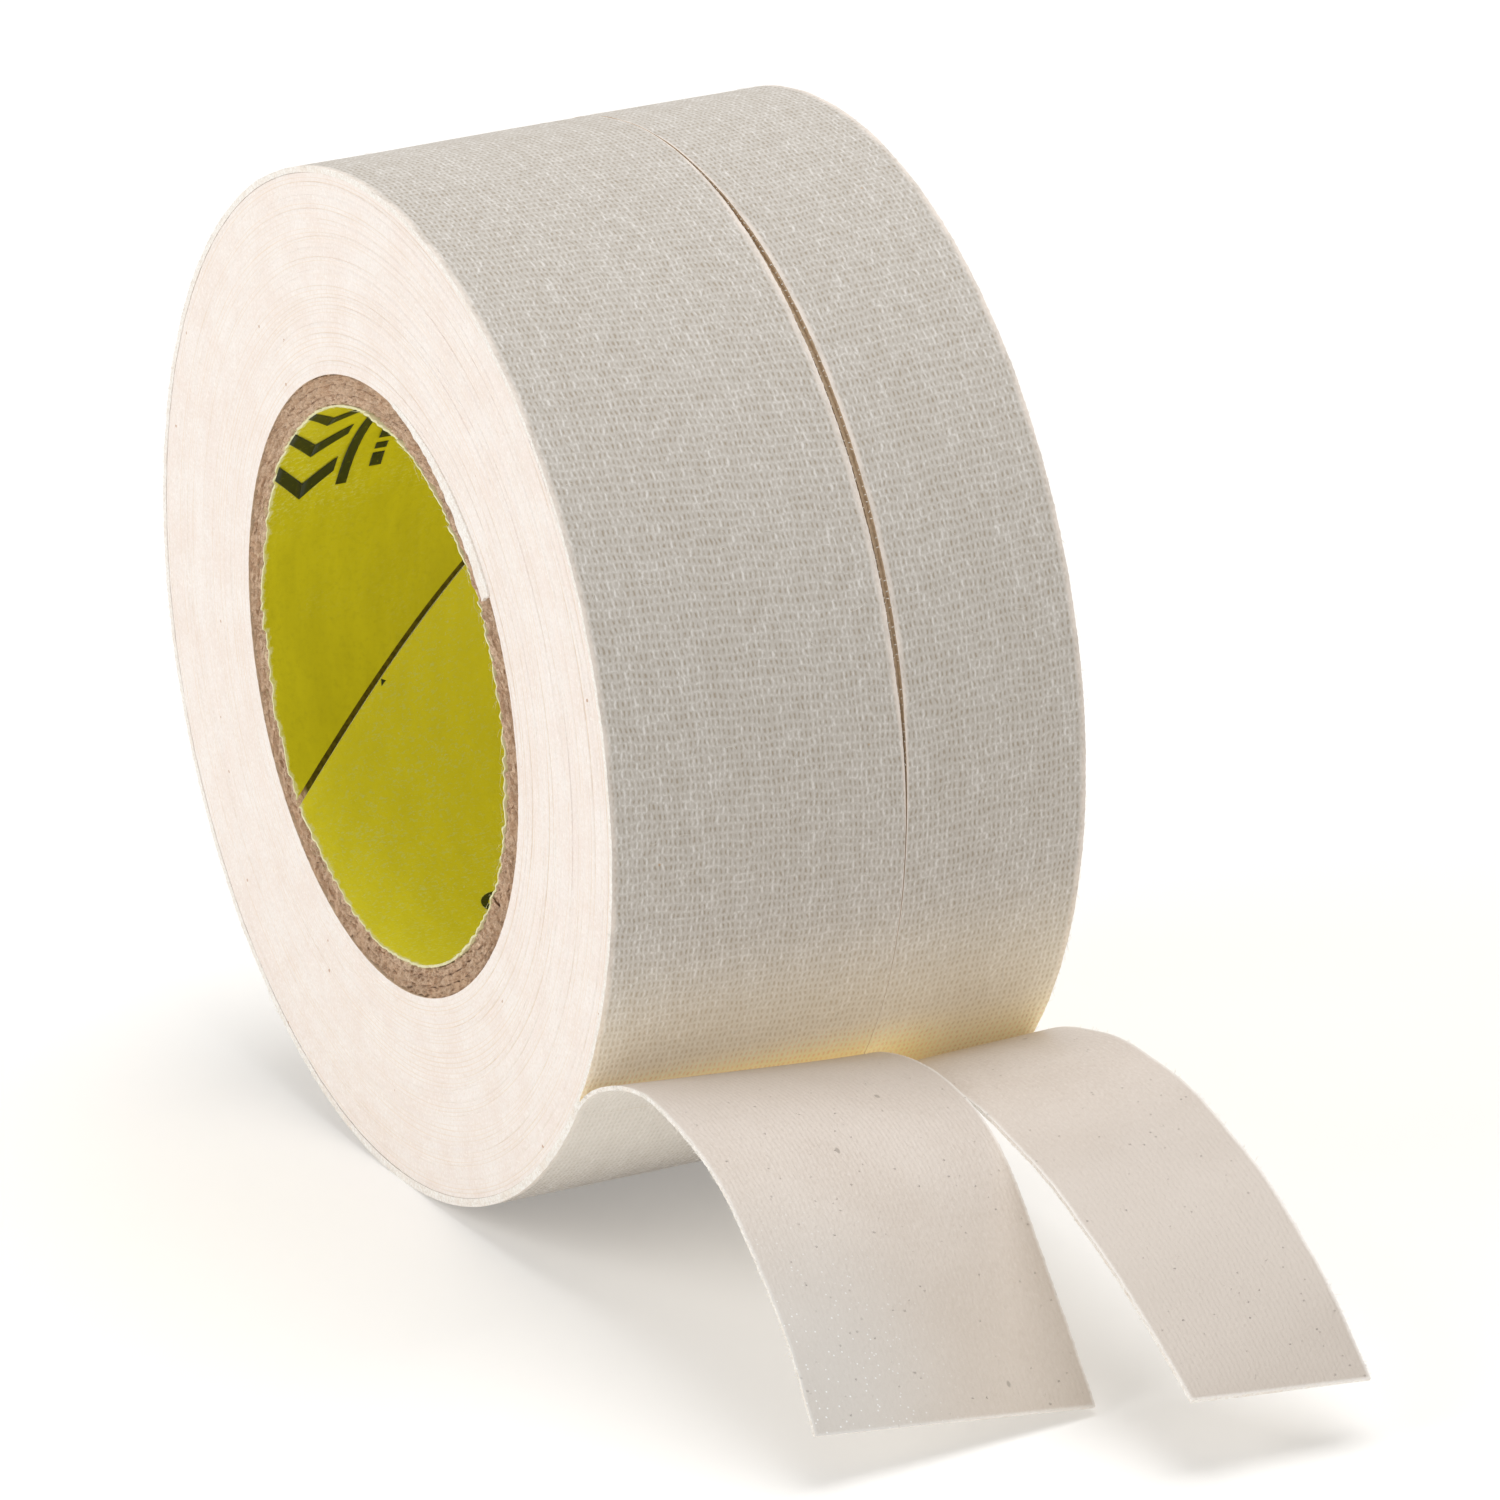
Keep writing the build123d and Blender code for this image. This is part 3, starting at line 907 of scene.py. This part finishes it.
def threads(name, paths, radius, material, body=None):
    """Thin tapered threads along paths, an array of (thread, point, xyz)."""
    paths = np.asarray(paths, dtype=float)
    count, steps = paths.shape[:2]
    ahead = np.gradient(paths, axis=1)
    ahead /= np.linalg.norm(ahead, axis=2, keepdims=True) + 1e-12
    other = np.where(np.abs(ahead[..., 1:2]) > 0.8, [1.0, 0.0, 0.0], [0.0, 1.0, 0.0])
    side = np.cross(ahead, other)
    side /= np.linalg.norm(side, axis=2, keepdims=True) + 1e-12
    third = np.cross(ahead, side)
    taper = np.linspace(1.0, 0.45, steps)[None, :, None]
    turns = tau * np.arange(3) / 3
    rings = [paths + radius * taper * (cos(t) * side + sin(t) * third) for t in turns]
    points = np.stack(rings, axis=2).reshape(-1, 3)
    faces = []
    for k in range(count):
        first = k * steps * 3
        for i in range(steps - 1):
            a = first + 3 * i
            faces += [[a, a + 1, a + 4, a + 3], [a + 1, a + 2, a + 5, a + 4], [a + 2, a, a + 3, a + 5]]
        faces += [[first + 2, first + 1, first], [first + 3 * steps - 3 + i for i in range(3)]]
    obj = new_object(name, points, faces, [material])
    if body:
        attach(obj, body)
    return obj


def rim_fuzz(name, radius, y, out, count, longest, spread, seed, material, body):
    """Short hairs standing off a rim, each curling at random."""
    rng = np.random.default_rng(seed)
    start = rng.uniform(0.0, tau, count)
    length = longest * rng.uniform(0.25, 1.0, count) ** 2
    steps = np.linspace(0, 1, 5)
    lean, curl = rng.normal(0, 0.9, (2, count))
    rise = rng.uniform(-0.4, 0.9, count)
    s = steps[None, :] * length[:, None]
    angle = start[:, None] + (s * lean[:, None] + s * steps * curl[:, None]) / radius
    height = y + rng.uniform(-spread, 0, count)[:, None] * out + out * s * 0.8
    r = radius + s * rise[:, None] * 0.6
    threads(name, around_roll(angle, height, r), 0.012 * MM, material, body)


def lying_hairs(tape, y_low, y_high, count, seed, material):
    """Fine hairs that lie on the outermost turn."""
    mean_peel = radians(-38.7)
    rng = np.random.default_rng(seed)
    steps = np.linspace(-0.5, 0.5, 8)[None, :]
    length = rng.uniform(0.4, 2.2, count)[:, None] * MM
    aim = rng.uniform(0, pi, count)[:, None]
    curl = rng.normal(0, 1.2, count)[:, None]
    heading = aim + curl * steps * 2
    u = np.cumsum(np.cos(heading), axis=1) / 8 * length
    v = np.cumsum(np.sin(heading), axis=1) / 8 * length
    angle = rng.uniform(radians(-28), radians(300), count)[:, None] + u / PEEL_R
    y = np.clip(rng.uniform(y_low, y_high, count)[:, None] + v, y_low + 0.2 * MM, y_high - 0.2 * MM)
    swept = (mean_peel - angle) % tau
    surface = PEEL_R - TAPE_T * swept / tau
    lift = 0.02 * MM + 0.05 * MM * rng.random(count)[:, None] * (0.25 - steps ** 2) * 4
    paths = around_roll(angle, y, surface + lift)
    threads(tape + "_lying_hairs", paths, 0.011 * MM, material, tape + "_turn")


def slit_threads(tape, seed, side, material):
    """Cut ends of the cross threads, standing into the slit."""
    rng = np.random.default_rng(seed)
    peel = radians(WIDE_SLIT_EDGE[0] if side < 0 else NARROW_SLIT_EDGE[0])
    count = int(tau * PEEL_R / WEFT_PITCH)
    swept = (np.arange(count) + rng.uniform(-0.2, 0.2, count)) * WEFT_PITCH / PEEL_R
    angle = peel - swept
    keep = (slit_gap(angle) > 0.12 * MM) & (rng.random(count) < 0.8)
    angle, swept = angle[keep], swept[keep]
    steps = np.linspace(0, 1, 4)[None, :]
    reach = rng.uniform(0.05, 0.16, len(angle))[:, None] * MM
    base = slit_gap(angle)[:, None] / 2 + 0.05 * MM
    y = Y_SLIT + side * (base - (reach + 0.05 * MM) * steps)
    y = np.where(side * (y - Y_SLIT) < 0.02 * MM, Y_SLIT + side * 0.02 * MM, y)
    angle = angle[:, None] + rng.normal(0, 0.07 * MM / PEEL_R, len(swept))[:, None] * steps
    surface = PEEL_R - TAPE_T * swept[:, None] / tau - 0.05 * MM
    r = surface + rng.uniform(-0.02, 0.05, len(swept))[:, None] * MM * steps
    threads(tape + "_slit_threads", around_roll(angle, y, r), 0.05 * MM, material, tape + "_turn")


# ---- the stage

def camera():
    """The camera, from the point it looks at, its distance and its angles."""
    data = bpy.data.cameras.new("camera")
    data.lens = 312.53
    data.sensor_width = 36.0
    data.clip_start, data.clip_end = 0.05, 20.0
    target = Vector((6.267, 6.986, -7.127)) * MM
    heading, height, roll = [radians(a) for a in (-63.96, 19.785, 1.716)]
    distance = 0.88362
    ahead = Vector((sin(heading) * cos(height), cos(heading) * cos(height), -sin(height)))
    right = ahead.cross(Vector((0, 0, 1))).normalized()
    up = right.cross(ahead)
    up, right = up * cos(roll) + right * sin(roll), right * cos(roll) - up * sin(roll)
    obj = add_object("camera", data)
    turned = Matrix((right, up, -ahead)).transposed().to_4x4()
    obj.matrix_world = Matrix.Translation(target - ahead * distance) @ turned
    bpy.context.scene.camera = obj


def area_light(name, place, aim, size, watts, tint):
    """A soft square light that faces a point."""
    data = bpy.data.lights.new(name, "AREA")
    data.shape = "SQUARE"
    data.size = size
    data.energy = watts
    data.color = tint
    obj = add_object(name, data)
    obj.location = place
    obj.rotation_euler = (Vector(aim) - Vector(place)).to_track_quat("-Z", "Y").to_euler()


def floor():
    """A plain pale floor that curves up far behind the roll on every side."""
    flat, reach, rise, count = 1.5, 3.0, 1.2, 96
    climb = [radians(a) for a in range(10, 91, 10)]
    rings = [0.4, 0.9, flat] + [flat + (reach - flat) * sin(a) for a in climb]
    lifts = [0.0] * 3 + [rise * (1 - cos(a)) for a in climb]
    angle = np.arange(count) * tau / count
    points = [(r * cos(a), r * sin(a), FLOOR_Z + h) for r, h in zip(rings, lifts) for a in angle]
    points.append((0.0, 0.0, FLOOR_Z))
    faces = [[near + i, near + (i + 1) % count, near + count + (i + 1) % count, near + count + i]
             for near in range(0, count * (len(rings) - 1), count) for i in range(count)]
    faces += [[len(points) - 1, i, (i + 1) % count] for i in range(count)]
    look = Look("pale_floor", roughness=0.9, specular=0.1)
    cloud = look.noise(look.place(), 0.5)
    look.finish(look.mix(cloud, colour(232, 231, 229), colour(236, 235, 233)))
    look.set("Emission Color", (1.0, 0.985, 0.965, 1.0))
    look.set("Emission Strength", 0.20)
    obj = new_object("floor", points, faces, [look.material])


def lights():
    """A broad key from the near side, a large light overhead, and pale surroundings."""
    area_light("key", (-0.25, -1.15, 0.70), (0, 0, 0), 0.9, 6.2, (1.0, 0.985, 0.97))
    area_light("top", (-0.1, 0.3, 1.6), (0, 0, 0), 1.3, 17.5, (1.0, 0.995, 0.99))
    world = bpy.data.worlds.new("studio")
    world.use_nodes = True
    world.node_tree.nodes["Background"].inputs["Color"].default_value = (1.0, 0.995, 0.985, 1.0)
    world.node_tree.nodes["Background"].inputs["Strength"].default_value = 0.40
    bpy.context.scene.world = world
    bpy.context.scene.view_settings.view_transform = "Standard"


camera()
lights()
floor()

cloth = cloth_look("cotton_cloth")
wound = edge_look("wound_edges")
cut = cut_look("cut_edge")
slit = slit_look("slit_sides")
adhesive = adhesive_look("adhesive_side")
kraft_shades = {"inner": 10, "middle": 0, "outer": -8}
kraft = [kraft_look("kraft_ply_" + n, lighter) for n, lighter in kraft_shades.items()]
paper = liner_look("printed_liner")
ink = ink_look("liner_ink")
seam_floor = seam_floor_look("seam_floor")
white_thread = fibre_look("white_thread", colour(248, 244, 236))
brown_fibre = fibre_look("kraft_fibre", colour(176, 136, 100))
pale_fibre = fibre_look("liner_fibre", colour(238, 234, 190))

liner([paper, pale_fibre])
liner_print(ink)
for place, (node, seam) in enumerate(PLY_SEAMS.items()):
    kraft_ply(node, place, seam, 31 + 10 * place, [kraft[place], kraft[place] if place else seam_floor])
wound_turns("wide", Y_NEAR, 11, [wound, slit, slit])
wound_turns("narrow", Y_FAR, 12, [wound, slit, slit])
first_turn_flap([cut])

turn_looks = [cloth, cut, adhesive, slit]
tail_looks = [cloth, cut, adhesive, white_thread]
outer_turn(*WIDE, True, 101, turn_looks)
outer_turn(*NARROW, False, 111, turn_looks)
tail(*WIDE, 121, tail_looks)
tail(*NARROW, 131, tail_looks)

# Fuzz on the rims: radius, height, way out, count, longest, spread in height, seed.
liner_rim = BORE_R + 0.05 * MM
kraft_rim = (BORE_R + CORE_R) / 2
turn_rim = PEEL_R - 0.25 * MM
rim_fuzz("liner_near_fuzz", liner_rim, Y_NEAR, -1, 500, 0.5 * MM, 0.2 * MM, 141, pale_fibre, "roll")
rim_fuzz("kraft_near_fuzz", kraft_rim, Y_NEAR + 0.3 * MM, -1, 300, 0.6 * MM, 0.2 * MM, 142,
         brown_fibre, "roll")
rim_fuzz("wide_near_fuzz", turn_rim, Y_NEAR, -1, 500, 0.45 * MM, 0.1 * MM, 143, white_thread, "wide_turn")
rim_fuzz("narrow_far_fuzz", turn_rim, Y_FAR, 1, 500, 0.45 * MM, 0.1 * MM, 144, white_thread, "narrow_turn")
lying_hairs("wide", Y_NEAR, Y_WIDE, 260, 145, white_thread)
lying_hairs("narrow", Y_NARROW, Y_FAR, 170, 146, white_thread)
slit_threads("wide", 147, -1, white_thread)
slit_threads("narrow", 148, 1, white_thread)
